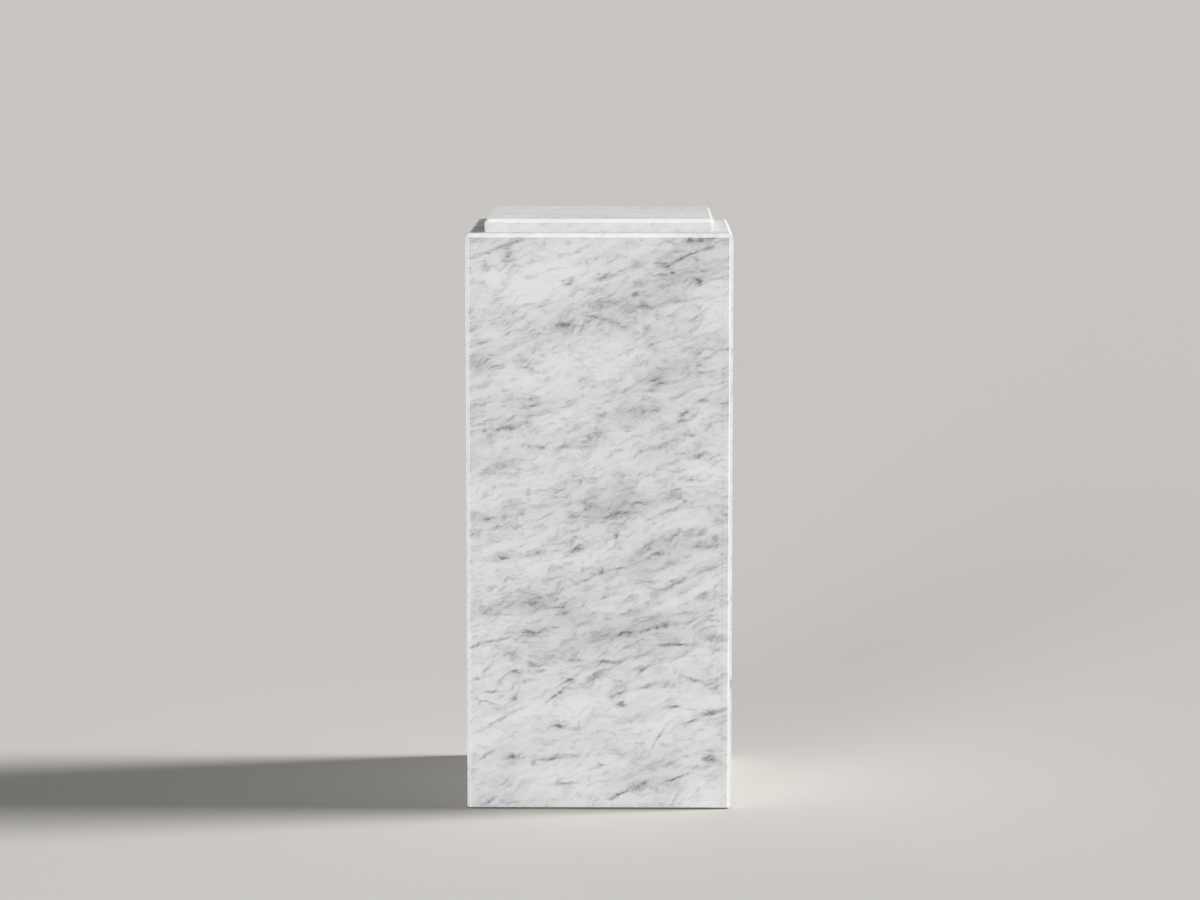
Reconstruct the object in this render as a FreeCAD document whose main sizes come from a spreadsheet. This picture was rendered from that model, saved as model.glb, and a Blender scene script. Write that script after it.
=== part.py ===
import FreeCAD, Part
import os
import Sketcher
from FreeCAD import Placement, Rotation, Vector

# A square pedestal column clad in marble. Four wall slabs, mitred at their upright edges,
# stand round a plywood core. A thicker cap slab sits in the opening that they leave at the
# top and rises above it, so that the walls' top edges show as a narrow ledge round the cap.
# The column stands on four levelling feet that are hidden behind the marble's lower edge.
# Millimetres. +Z is up, +X is to the right and -Y is the front. The origin is on the floor,
# in the middle of the column.

OUTPUT_FOLDER = "parts"

SIZES = {
    # Marble walls
    "column_width": 300,
    "column_depth": 300,
    "column_height": 655,  # floor to the ledge
    "floor_gap": 1.5,  # floor to the marble's lower edge
    "slab_thickness": 20,
    "arris_chamfer": 4.5,  # upright corners and the ledge's outer edge
    "lower_ease": 1.0,  # the small bevel round the bottom edge
    "mitre_line": 0.4,  # resin between two mitred slabs
    # Marble cap
    "cap_rise": 15,  # ledge to the cap's top
    "cap_sink": 15,  # how far the cap reaches down between the walls
    "cap_joint": 1.0,  # sealant between the cap and the walls
    "cap_chamfer": 4.0,
    "sealant_recess": 0.6,
    "cap_bedding": 1.0,  # adhesive under the cap
    # Plywood core
    "adhesive_gap": 2.0,  # between the core and the walls
    "adhesive_width": 16,
    "adhesive_pitch": 80,  # between the middles of two beads
    "adhesive_margin": 45,  # from a bead's ends to the ends of the panel
    "panel_thickness": 18,
    "deck_thickness": 18,
    "base_thickness": 24,
    "brace_thickness": 18,
    "brace_height": 320,  # floor to the brace's underside
    "brace_hole_radius": 30,
    "batten_width": 24,
    "batten_slack": 0.3,  # round a batten, in the brace's notch
    # Wood screws
    "screw_radius": 2.0,
    "screw_head_radius": 4.0,
    "screw_head_height": 2.6,
    "screw_length": 45,
    "screw_slack": 0.05,
    "screw_margin": 50,  # from the last screws of a row to the ends of the panel
    "screw_spread": 60,  # from the middle of a side to its screws
    # Levelling feet
    "foot_inset": 60,  # a foot's axis to the column's outside
    "foot_travel": 8,  # how far a foot screws out from where it is drawn
    "felt_radius": 14.5,
    "felt_thickness": 2,
    "pad_radius": 16,
    "pad_top_radius": 8,
    "pad_rim": 2,  # the upright edge at the pad's base
    "pad_height": 6,
    "socket_depth": 4,
    "spigot_radius": 3,
    "spigot_slack": 0.05,
    "hex_flats": 13,
    "hex_height": 5,
    "seat_gap": 0.1,  # between the pad and the stem that turns on it
    "stop_gap": 0.5,  # between the hexagon and the nut when the foot is screwed in
    "thread_radius": 4,
    "thread_slack": 0.05,
    "thread_spare": 3,  # thread left above the nut when the foot is screwed out
    "nut_flange_radius": 11,
    "nut_flange_height": 1.6,
    "nut_barrel_radius": 5,
    "nut_barrel_length": 12,
    "nut_slack": 0.05,
}

SIDE_SCREW_ROWS = 4
BEADS_PER_SIDE = 3
CORNERS = {"front_left": (-1, -1), "front_right": (1, -1), "back_left": (-1, 1), "back_right": (1, 1)}

doc = FreeCAD.newDocument("pedestal")
sheet = doc.addObject("Spreadsheet::Sheet", "Sizes")


class Length:
    """A length made from the sheet's sizes: its number now, and the formula that binds it."""

    def __init__(self, number, formula):
        self.number = number
        self.formula = formula

    def __add__(self, other):
        other = length(other)
        return Length(self.number + other.number, f"({self.formula} + {other.formula})")

    def __sub__(self, other):
        other = length(other)
        return Length(self.number - other.number, f"({self.formula} - {other.formula})")

    def __mul__(self, factor):
        return Length(self.number * factor, f"({self.formula} * {factor!r})")

    def __truediv__(self, divisor):
        return Length(self.number / divisor, f"({self.formula} / {divisor!r})")

    def __neg__(self):
        return self * -1


def length(value):
    """value as a Length, where a plain number stays that number."""
    return value if isinstance(value, Length) else Length(value, repr(value))


def fill_sheet():
    """Writes each size and its name into the sheet, one to a row."""
    for row, (name, value) in enumerate(SIZES.items(), start=1):
        sheet.set(f"A{row}", name)
        sheet.set(f"B{row}", str(value))
        sheet.setAlias(f"B{row}", name)
    doc.recompute()


def size(name):
    """The named size as a Length."""
    return Length(float(SIZES[name]), f"Sizes.{name}")


fill_sheet()

# Places that several pieces share
half_width = size("column_width") / 2
half_depth = size("column_depth") / 2
wall = size("slab_thickness")
chamfer = size("arris_chamfer")
ledge_z = size("column_height")
wall_bottom = size("floor_gap")
cap_bottom = ledge_z - size("cap_sink")
cap_top = ledge_z + size("cap_rise")

core_half_width = half_width - wall - size("adhesive_gap")
core_half_depth = half_depth - wall - size("adhesive_gap")
inside_half_width = core_half_width - size("panel_thickness")
inside_half_depth = core_half_depth - size("panel_thickness")
deck_top = cap_bottom - size("cap_bedding")
deck_bottom = deck_top - size("deck_thickness")

pad_top = size("felt_thickness") + size("pad_height")
hex_bottom = pad_top + size("seat_gap")
hex_top = hex_bottom + size("hex_height")
nut_bottom = hex_top + size("stop_gap")
base_bottom = nut_bottom + size("nut_flange_height")
base_top = base_bottom + size("base_thickness")
brace_bottom = size("brace_height")
brace_top = brace_bottom + size("brace_thickness")
nut_top = base_bottom + size("nut_barrel_length")
stem_top = nut_top + size("foot_travel") + size("thread_spare")


def new_body(label, turn=0):
    """An empty body, turned about the column's axis by whole quarter turns."""
    body = doc.addObject("PartDesign::Body", label)
    body.Label = label
    body.Placement = Placement(Vector(0, 0, 0), Rotation(Vector(0, 0, 1), turn))
    return body


def new_sketch(body, label, role, level=None):
    """A sketch on one of the body's origin planes, raised by level along the plane's normal."""
    sketch = body.newObject("Sketcher::SketchObject", label)
    plane = next(f for f in body.Origin.OriginFeatures if f.Role == role)
    sketch.AttachmentSupport = [(plane, "")]
    sketch.MapMode = "FlatFace"
    if level is not None:
        sketch.setExpression("AttachmentOffset.Base.z", length(level).formula)
    return sketch


def hold_point(sketch, geometry, end, x, y):
    """Holds one point of the sketch at x, y from the sketch's origin."""
    for kind, value in (("DistanceX", length(x)), ("DistanceY", length(y))):
        constraint = sketch.addConstraint(Sketcher.Constraint(kind, -1, 1, geometry, end, value.number))
        sketch.setExpression(f"Constraints[{constraint}]", value.formula)


def add_polygon(sketch, points):
    """A closed outline of straight lines through points, each held by its own two distances."""
    first = sketch.GeometryCount
    count = len(points)
    for i in range(count):
        start, stop = points[i], points[(i + 1) % count]
        ends = [Vector(length(x).number, length(y).number, 0) for x, y in (start, stop)]
        sketch.addGeometry(Part.LineSegment(*ends), False)
    for i in range(count):
        sketch.addConstraint(Sketcher.Constraint("Coincident", first + i, 2, first + (i + 1) % count, 1))
    for i, (x, y) in enumerate(points):
        hold_point(sketch, first + i, 1, x, y)


def add_rectangle(sketch, left, right, low, high):
    """A rectangle from left to right and from low to high."""
    add_polygon(sketch, [(left, low), (right, low), (right, high), (left, high)])


def add_circle(sketch, x, y, radius):
    """A circle about x, y."""
    radius = length(radius)
    centre = Vector(length(x).number, length(y).number, 0)
    circle = sketch.addGeometry(Part.Circle(centre, Vector(0, 0, 1), radius.number), False)
    hold_point(sketch, circle, 3, x, y)
    constraint = sketch.addConstraint(Sketcher.Constraint("Radius", circle, radius.number))
    sketch.setExpression(f"Constraints[{constraint}]", radius.formula)


def pad(body, sketch, height, backwards=False):
    """Raises the sketch into a solid of that height."""
    feature = body.newObject("PartDesign::Pad", f"{sketch.Label}_pad")
    feature.Profile = sketch
    feature.setExpression("Length", length(height).formula)
    feature.Reversed = backwards
    return feature


def cut_through(body, sketch):
    """Cuts the sketch out of the body all the way, on both sides of the sketch's plane."""
    feature = body.newObject("PartDesign::Pocket", f"{sketch.Label}_cut")
    feature.Profile = sketch
    feature.SideType = "Symmetric"
    feature.Type = "ThroughAll"
    return feature


def bevel(body, label, role, reach, bevels):
    """Cuts 45-degree bevels along the edges that a plane through the axis shows as corners.

    reach is from the axis to the outer face. Each bevel is (side, level, up, bevel size), where
    side is -1 or 1 and up is 1 at a top edge and -1 at a bottom edge.
    """
    sketch = new_sketch(body, label, role)
    for side, level, up, depth in bevels:
        outside = reach + depth
        beyond = level + depth * up
        corners = [
            ((reach - depth * 2) * side, beyond),
            (outside * side, beyond),
            (outside * side, level - depth * (2 * up)),
        ]
        add_polygon(sketch, corners)
    cut_through(body, sketch)


def wall_slab(label, half_span, reach, turn):
    """A mitred wall slab whose outer face stands at -reach along its own Y."""
    body = new_body(label, turn)
    shift = size("mitre_line") * (0.5**0.5)
    corner = half_span - shift
    plan = new_sketch(body, f"{label}_plan", "XY_Plane", wall_bottom)
    outline = [
        (chamfer - half_span, -reach),
        (half_span - chamfer, -reach),
        (corner - chamfer / 2 + shift / 2, chamfer / 2 - reach - shift / 2),
        (corner - wall, wall - reach),
        (wall - corner, wall - reach),
        (chamfer / 2 - corner - shift / 2, chamfer / 2 - reach - shift / 2),
    ]
    add_polygon(plan, outline)
    pad(body, plan, ledge_z - wall_bottom)
    bevels = [(-1, ledge_z, 1, chamfer), (-1, wall_bottom, -1, size("lower_ease"))]
    bevel(body, f"{label}_edges", "YZ_Plane", reach, bevels)
    return body


def mitre_resin():
    """The four upright lines of resin in the mitres, flush with the chamfered corners."""
    body = new_body("mitre_resin")
    plan = new_sketch(body, "resin_plan", "XY_Plane", wall_bottom)
    shift = size("mitre_line") * (0.5**0.5) / 2
    outer = (half_width - chamfer / 2, half_depth - chamfer / 2)
    inner = (half_width - wall, half_depth - wall)
    for side, front in CORNERS.values():
        points = [
            ((outer[0] + shift) * side, (outer[1] - shift) * front),
            ((outer[0] - shift) * side, (outer[1] + shift) * front),
            ((inner[0] - shift) * side, (inner[1] + shift) * front),
            ((inner[0] + shift) * side, (inner[1] - shift) * front),
        ]
        add_polygon(plan, points)
    pad(body, plan, ledge_z - wall_bottom)
    ease = size("lower_ease")
    for role, reach in (("XZ_Plane", half_width), ("YZ_Plane", half_depth)):
        bevels = [(s, ledge_z, 1, chamfer) for s in (-1, 1)]
        bevels += [(s, wall_bottom, -1, ease) for s in (-1, 1)]
        bevel(body, f"resin_{role[:2]}", role, reach, bevels)
    return body


def cap_slab():
    """The thick slab that rises above the ledge, with its corners and top edges chamfered."""
    body = new_body("cap_slab")
    bite = size("cap_chamfer")
    reach_x = half_width - wall - size("cap_joint")
    reach_y = half_depth - wall - size("cap_joint")
    plan = new_sketch(body, "cap_plan", "XY_Plane", cap_bottom)
    octagon = []
    for side, front in ((-1, -1), (1, -1), (1, 1), (-1, 1)):
        on_front = ((reach_x - bite) * side, reach_y * front)
        on_side = (reach_x * side, (reach_y - bite) * front)
        octagon += [on_side, on_front] if side == front else [on_front, on_side]
    add_polygon(plan, octagon)
    pad(body, plan, cap_top - cap_bottom)
    for role, reach in (("XZ_Plane", reach_x), ("YZ_Plane", reach_y)):
        bevel(body, f"cap_{role[:2]}", role, reach, [(s, cap_top, 1, bite) for s in (-1, 1)])
    return body


def cap_sealant():
    """The ring of sealant between the cap and the walls, sunk a little below the ledge."""
    body = new_body("cap_sealant")
    plan = new_sketch(body, "sealant_plan", "XY_Plane", cap_bottom)
    for inwards in (0, size("cap_joint")):
        reach_x = half_width - wall - inwards
        reach_y = half_depth - wall - inwards
        add_rectangle(plan, -reach_x, reach_x, -reach_y, reach_y)
    pad(body, plan, size("cap_sink") - size("sealant_recess"))
    return body


def wall_adhesive(label, reach, turn):
    """Upright beads of adhesive between one side of the core and its wall slab."""
    body = new_body(label, turn)
    bottom = base_bottom + size("adhesive_margin")
    top = deck_bottom - size("adhesive_margin")
    plan = new_sketch(body, f"{label}_plan", "XY_Plane", bottom)
    half_bead = size("adhesive_width") / 2
    for i in range(BEADS_PER_SIDE):
        middle = size("adhesive_pitch") * (i - (BEADS_PER_SIDE - 1) / 2)
        outside = wall - reach
        add_rectangle(plan, middle - half_bead, middle + half_bead, outside, outside + size("adhesive_gap"))
    pad(body, plan, top - bottom)
    return body


def cap_adhesive():
    """Beads of adhesive on the core's deck, which the cap is bedded in."""
    body = new_body("cap_adhesive")
    plan = new_sketch(body, "cap_adhesive_plan", "XY_Plane", deck_top)
    half_bead = size("adhesive_width") / 2
    end = core_half_depth - size("adhesive_margin")
    for i in range(BEADS_PER_SIDE):
        middle = size("adhesive_pitch") * (i - (BEADS_PER_SIDE - 1) / 2)
        add_rectangle(plan, middle - half_bead, middle + half_bead, -end, end)
    pad(body, plan, size("cap_bedding"))
    return body


def board(label, left, right, front, back, bottom, top):
    """A plain rectangular board."""
    body = new_body(label)
    plan = new_sketch(body, f"{label}_plan", "XY_Plane", bottom)
    add_rectangle(plan, left, right, front, back)
    pad(body, plan, top - bottom)
    return body


def side_screw_heights():
    """The heights of the screws that join two panels at a corner of the core."""
    low = base_bottom + size("screw_margin")
    high = deck_bottom - size("screw_margin")
    step = (high - low) / (SIDE_SCREW_ROWS - 1)
    return [low + step * i for i in range(SIDE_SCREW_ROWS)]


def panel_screw_places(corner_reach=None):
    """Where one panel's screws go, as (x, z): into the base board, the brace and a panel's edge."""
    base_middle = base_bottom + size("base_thickness") / 2
    brace_middle = brace_bottom + size("brace_thickness") / 2
    spread = size("screw_spread")
    places = [(spread * side, height) for side in (-1, 1) for height in (base_middle, brace_middle)]
    if corner_reach is not None:
        places += [(corner_reach * side, height) for side in (-1, 1) for height in side_screw_heights()]
    return places


def deck_screw_places():
    """Where the deck's screws go, as (x, y): into the middle of each panel's top edge."""
    edge_x = core_half_width - size("panel_thickness") / 2
    edge_y = core_half_depth - size("panel_thickness") / 2
    spread = size("screw_spread")
    along_front = [(spread * side, edge_y * front) for side in (-1, 1) for front in (-1, 1)]
    along_sides = [(edge_x * side, spread * front) for side in (-1, 1) for front in (-1, 1)]
    return along_front + along_sides


def screws(label, role, level, places, turn=0, slack=0, backwards=False):
    """Screws of one make, driven from the face at level. With slack they are the holes' shape."""
    body = new_body(label, turn)
    shanks = new_sketch(body, f"{label}_shanks", role, level)
    for x, y in places:
        add_circle(shanks, x, y, size("screw_radius") + slack)
    pad(body, shanks, size("screw_length") + slack, backwards)
    heads = new_sketch(body, f"{label}_heads", role, level)
    for x, y in places:
        add_circle(heads, x, y, size("screw_head_radius") + slack)
    pad(body, heads, size("screw_head_height") + slack, backwards)
    return body


def drilled(label, blank, tools):
    """The blank with every tool's shape cut out of it."""
    cut = doc.addObject("Part::Cut", label)
    cut.Label = label
    cut.Base = blank
    cut.Tool = tools
    return cut


def foot_place(corner):
    """The x and y of the foot at that corner."""
    side, front = CORNERS[corner]
    return (half_width - size("foot_inset")) * side, (half_depth - size("foot_inset")) * front


def base_board_blank():
    """The base board with a hole for each levelling nut."""
    body = board("base_blank", -inside_half_width, inside_half_width, -inside_half_depth,
                 inside_half_depth, base_bottom, base_top)
    holes = new_sketch(body, "nut_holes", "XY_Plane", base_bottom)
    for corner in CORNERS:
        add_circle(holes, *foot_place(corner), size("nut_barrel_radius") + size("nut_slack"))
    cut_through(body, holes)
    return body


def brace_blank():
    """The brace half way up, notched round the battens and holed in the middle."""
    body = new_body("brace_blank")
    plan = new_sketch(body, "brace_plan", "XY_Plane", brace_bottom)
    notch = size("batten_width") + size("batten_slack")
    reach_x, reach_y = inside_half_width, inside_half_depth
    points = []
    for side, front in ((-1, -1), (1, -1), (1, 1), (-1, 1)):
        steps = [
            (reach_x * side, (reach_y - notch) * front),
            ((reach_x - notch) * side, (reach_y - notch) * front),
            ((reach_x - notch) * side, reach_y * front),
        ]
        points += steps if side == front else steps[::-1]
    add_polygon(plan, points)
    add_circle(plan, 0, 0, size("brace_hole_radius"))
    pad(body, plan, size("brace_thickness"))
    return body


def batten(corner):
    """The square batten that stiffens one upright corner of the core."""
    side, front = CORNERS[corner]
    width = size("batten_width")
    ends_x = sorted([inside_half_width * side, (inside_half_width - width) * side], key=lambda e: e.number)
    ends_y = sorted([inside_half_depth * front, (inside_half_depth - width) * front], key=lambda e: e.number)
    return board(f"corner_batten_{corner}", *ends_x, *ends_y, base_top, deck_bottom)


def levelling_nuts():
    """The four flanged nuts in the base board, which the feet screw into."""
    body = new_body("levelling_nuts")
    bore = size("thread_radius")
    flanges = new_sketch(body, "nut_flanges", "XY_Plane", nut_bottom)
    barrels = new_sketch(body, "nut_barrels", "XY_Plane", nut_bottom)
    for corner in CORNERS:
        x, y = foot_place(corner)
        add_circle(flanges, x, y, size("nut_flange_radius"))
        add_circle(flanges, x, y, bore)
        add_circle(barrels, x, y, size("nut_barrel_radius"))
        add_circle(barrels, x, y, bore)
    pad(body, flanges, size("nut_flange_height"))
    pad(body, barrels, nut_top - nut_bottom)
    return body


def place_at_foot(body, corner):
    """Moves a body that was drawn on the axis to the foot's axis."""
    x, y = foot_place(corner)
    body.setExpression("Placement.Base.x", x.formula)
    body.setExpression("Placement.Base.y", y.formula)


def foot_felt(corner):
    """The felt disc that touches the floor."""
    body = new_body(f"foot_felt_{corner}")
    plan = new_sketch(body, f"felt_plan_{corner}", "XY_Plane")
    add_circle(plan, 0, 0, size("felt_radius"))
    pad(body, plan, size("felt_thickness"))
    place_at_foot(body, corner)
    return body


def foot_pad(corner):
    """The moulded pad, a cone with a socket for the stem's spigot."""
    body = new_body(f"foot_pad_{corner}")
    profile = new_sketch(body, f"pad_profile_{corner}", "XZ_Plane")
    bottom = size("felt_thickness")
    socket = size("spigot_radius") + size("spigot_slack")
    socket_floor = pad_top - size("socket_depth")
    points = [
        (0, bottom),
        (size("pad_radius"), bottom),
        (size("pad_radius"), bottom + size("pad_rim")),
        (size("pad_top_radius"), pad_top),
        (socket, pad_top),
        (socket, socket_floor),
        (0, socket_floor),
    ]
    add_polygon(profile, points)
    turned = body.newObject("PartDesign::Revolution", f"pad_turned_{corner}")
    turned.Profile = profile
    turned.ReferenceAxis = (profile, ["V_Axis"])
    turned.Angle = 360
    place_at_foot(body, corner)
    return body


def foot_stem(corner):
    """The threaded stem, drawn plain, with its hexagon and the spigot that turns in the pad."""
    body = new_body(f"foot_stem_{corner}")
    spigot = new_sketch(body, f"spigot_{corner}", "XY_Plane", hex_bottom)
    add_circle(spigot, 0, 0, size("spigot_radius"))
    pad(body, spigot, size("socket_depth"), backwards=True)
    hexagon = new_sketch(body, f"hexagon_{corner}", "XY_Plane", hex_bottom)
    flat = size("hex_flats") / 2
    point = size("hex_flats") * (1 / 3**0.5)
    half_side = point / 2
    corners = [(-point, 0), (-half_side, -flat), (half_side, -flat), (point, 0), (half_side, flat),
               (-half_side, flat)]
    add_polygon(hexagon, corners)
    pad(body, hexagon, size("hex_height"))
    shank = new_sketch(body, f"shank_{corner}", "XY_Plane", hex_top)
    add_circle(shank, 0, 0, size("thread_radius") - size("thread_slack"))
    pad(body, shank, stem_top - hex_top)
    place_at_foot(body, corner)
    return body


def core_parts():
    """The plywood core: its blanks, the screws, and each blank with its screw holes."""
    panel_edge = core_half_width - size("panel_thickness") / 2
    blanks = {
        "core_front_panel": board("front_blank", -core_half_width, core_half_width, -core_half_depth,
                                  -inside_half_depth, base_bottom, deck_bottom),
        "core_back_panel": board("back_blank", -core_half_width, core_half_width, inside_half_depth,
                                 core_half_depth, base_bottom, deck_bottom),
        "core_left_panel": board("left_blank", -core_half_width, -inside_half_width,
                                 -inside_half_depth, inside_half_depth, base_bottom, deck_bottom),
        "core_right_panel": board("right_blank", inside_half_width, core_half_width,
                                  -inside_half_depth, inside_half_depth, base_bottom, deck_bottom),
        "core_deck": board("deck_blank", -core_half_width, core_half_width, -core_half_depth,
                           core_half_depth, deck_bottom, deck_top),
        "base_board": base_board_blank(),
        "middle_brace": brace_blank(),
    }
    sides = [
        ("front_screws", core_half_depth, 0, panel_edge),
        ("right_screws", core_half_width, 90, None),
        ("back_screws", core_half_depth, 180, panel_edge),
        ("left_screws", core_half_width, 270, None),
    ]
    made, holes = [], []
    for slack, kept in ((0, made), (size("screw_slack"), holes)):
        ending = "" if kept is made else "_holes"
        for label, reach, turn, corner_reach in sides:
            places = panel_screw_places(corner_reach)
            kept.append(screws(label + ending, "XZ_Plane", reach, places, turn, slack, backwards=True))
        places = deck_screw_places()
        kept.append(screws("deck_screws" + ending, "XY_Plane", deck_top, places, 0, slack, backwards=True))
    tools = doc.addObject("Part::Compound", "screw_holes")
    tools.Links = holes
    made += [drilled(label, blank, tools) for label, blank in blanks.items()]
    made += [batten(corner) for corner in CORNERS]
    return made


def build():
    """Every piece of the column, in the order a maker would put it together."""
    pieces = core_parts()
    sides = [
        ("front", half_width, half_depth, 0),
        ("right", half_depth, half_width, 90),
        ("back", half_width, half_depth, 180),
        ("left", half_depth, half_width, 270),
    ]
    for label, half_span, reach, turn in sides:
        pieces.append(wall_adhesive(f"{label}_adhesive", reach, turn))
        pieces.append(wall_slab(f"{label}_slab", half_span, reach, turn))
    pieces += [mitre_resin(), cap_adhesive(), cap_slab(), cap_sealant(), levelling_nuts()]
    for corner in CORNERS:
        pieces += [foot_felt(corner), foot_pad(corner), foot_stem(corner)]
    doc.recompute()
    return pieces


def check(pieces):
    """Stops if anything in the document failed, or a piece is empty or not sound."""
    for thing in doc.Objects:
        if {"Invalid", "Error"} & set(thing.State):
            raise RuntimeError(f"{thing.Label} failed: {thing.State}")
    for piece in pieces:
        if piece.Shape.isNull() or not piece.Shape.isValid() or not piece.Shape.Solids:
            raise RuntimeError(f"{piece.Label} has no sound shape")


def export(pieces):
    """Writes each piece to its own file."""
    os.makedirs(OUTPUT_FOLDER, exist_ok=True)
    for piece in pieces:
        piece.Shape.exportStep(f"{OUTPUT_FOLDER}/{piece.Label}.step")
        print(f"{piece.Label}: {len(piece.Shape.Solids)} solids, {piece.Shape.Volume / 1000:.1f} cm3")


all_pieces = build()
check(all_pieces)
export(all_pieces)
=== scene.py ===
import math
import bmesh
import bpy
import numpy as np
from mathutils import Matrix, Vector


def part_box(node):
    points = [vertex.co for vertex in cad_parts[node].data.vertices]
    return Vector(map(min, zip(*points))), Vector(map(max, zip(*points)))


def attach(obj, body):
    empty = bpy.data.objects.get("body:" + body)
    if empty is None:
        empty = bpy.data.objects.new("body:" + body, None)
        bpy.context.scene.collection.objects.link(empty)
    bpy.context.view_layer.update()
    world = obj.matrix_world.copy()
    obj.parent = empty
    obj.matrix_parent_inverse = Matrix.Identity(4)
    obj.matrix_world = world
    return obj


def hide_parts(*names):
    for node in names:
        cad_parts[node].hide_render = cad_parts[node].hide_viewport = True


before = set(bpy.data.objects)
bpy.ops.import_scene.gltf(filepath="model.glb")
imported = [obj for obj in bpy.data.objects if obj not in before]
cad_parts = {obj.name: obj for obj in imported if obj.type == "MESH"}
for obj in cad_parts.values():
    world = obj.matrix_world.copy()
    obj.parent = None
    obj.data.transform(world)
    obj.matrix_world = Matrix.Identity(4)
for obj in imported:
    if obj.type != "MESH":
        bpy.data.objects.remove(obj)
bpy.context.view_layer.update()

# A square column clad in honed white Carrara marble, with a set-back cap and hidden levelling feet.
# Metres, +Z up, -Y is the front. Patterns in the materials are worked out in millimetres.

mm = 0.001
footPlaces = {
    "front_left": (-90, -90), "front_right": (90, -90), "back_left": (-90, 90), "back_right": (90, 90)}


# A closed skin over rings of points, shape (rings, points around, 3): neighbouring rings are joined
# by quads and each end is a flat face. Points that fall together are merged
def skin(name, rings):
    count, around = rings.shape[:2]
    index = np.arange(count * around).reshape(count, around)
    low, high = index[:-1], index[1:]
    quads = np.stack([low, np.roll(low, -1, 1), np.roll(high, -1, 1), high], -1).reshape(-1, 4)
    ends = [index[0, ::-1].tolist(), index[-1].tolist()]
    mesh = bpy.data.meshes.new(name)
    mesh.from_pydata(rings.reshape(-1, 3).tolist(), [], quads.tolist() + ends)
    tidy = bmesh.new()
    tidy.from_mesh(mesh)
    bmesh.ops.remove_doubles(tidy, verts=tidy.verts, dist=1e-6)
    bmesh.ops.recalc_face_normals(tidy, faces=tidy.faces)
    tidy.to_mesh(mesh)
    tidy.free()
    piece = bpy.data.objects.new(name, mesh)
    bpy.context.scene.collection.objects.link(piece)
    return piece


# Rounds the edges of a piece where its faces turn by more than an angle in degrees
def roundEdges(piece, width, sharp=20, segments=2):
    bevel = piece.modifiers.new("rounded edges", "BEVEL")
    bevel.width = width
    bevel.segments = segments
    bevel.limit_method = "ANGLE"
    bevel.angle_limit = math.radians(sharp)
    bevel.harden_normals = True
    piece.data.polygons.foreach_set("use_smooth", [True] * len(piece.data.polygons))


# Gives a finished piece its material and the body it rides on, and hides the nodes it stands for. The slot
# is not used
def fit(piece, material, body, slot, *nodes):
    piece.data.materials.clear()
    piece.data.materials.append(material)
    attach(piece, body)
    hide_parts(*nodes)


# An sRGB hex colour as linear RGBA: a channel up to 0.04045 is divided by 12.92, and a brighter one has
# 0.055 added, is divided by 1.055 and raised to the power 2.4
def linear(code):
    channels = [int(code[i:i + 2], 16) / 255 for i in (1, 3, 5)]
    return [c / 12.92 if c <= 0.04045 else ((c + 0.055) / 1.055) ** 2.4 for c in channels] + [1.0]


# Adds a node with its settings and links. Each input is a fixed value, a socket, or a node, meant by its
# first output, which is also what goes to a socket named by to. Stops are the (place, hex colour) of a
# colour ramp. Spread is a texture's own place, rise in degrees and size: a slab has too many veins for
# a Mapping node each, because one shader holds only so many values
def addNode(tree, kind, inputs=(), to=None, stops=(), spread=None, **settings):
    node = tree.nodes.new("ShaderNode" + kind)
    for key, value in settings.items():
        setattr(node, key, value)
    for number, (place, code) in enumerate(stops):
        elements = node.color_ramp.elements
        element = elements[number] if number < 2 else elements.new(place)
        element.position, element.color = place, linear(code)
    if spread:
        node.texture_mapping.vector_type = "TEXTURE"
        node.texture_mapping.translation, rise, node.texture_mapping.scale = spread
        node.texture_mapping.rotation = (0, -math.radians(rise), 0)
    for key, value in inputs.items() if isinstance(inputs, dict) else enumerate(inputs):
        value = value.outputs[0] if isinstance(value, bpy.types.Node) else value
        if isinstance(value, bpy.types.NodeSocket):
            tree.links.new(value, node.inputs[key])
        else:
            node.inputs[key].default_value = value
    if to:
        tree.links.new(node.outputs[0], to)
    return node


# A material with one shader, whose fixed values stand on its own sockets, the surface. The point is the
# place on the piece in millimetres, turned back about Z by the piece's turn, so that x runs along it
def newMaterial(name, turn=0, **fixed):
    material = bpy.data.materials.new(name)
    material.use_nodes = True
    tree = material.node_tree
    tree.nodes.clear()
    shader = addNode(tree, "BsdfPrincipled", {key.replace("_", " "): value for key, value in fixed.items()})
    addNode(tree, "OutputMaterial", [shader])
    place = addNode(tree, "TexCoord").outputs["Object"]
    point = addNode(tree, "Mapping", {
        "Vector": place, "Rotation": (0, 0, -math.radians(turn)), "Scale": (1 / mm,) * 3})
    return material, tree, shader.inputs, point


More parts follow.
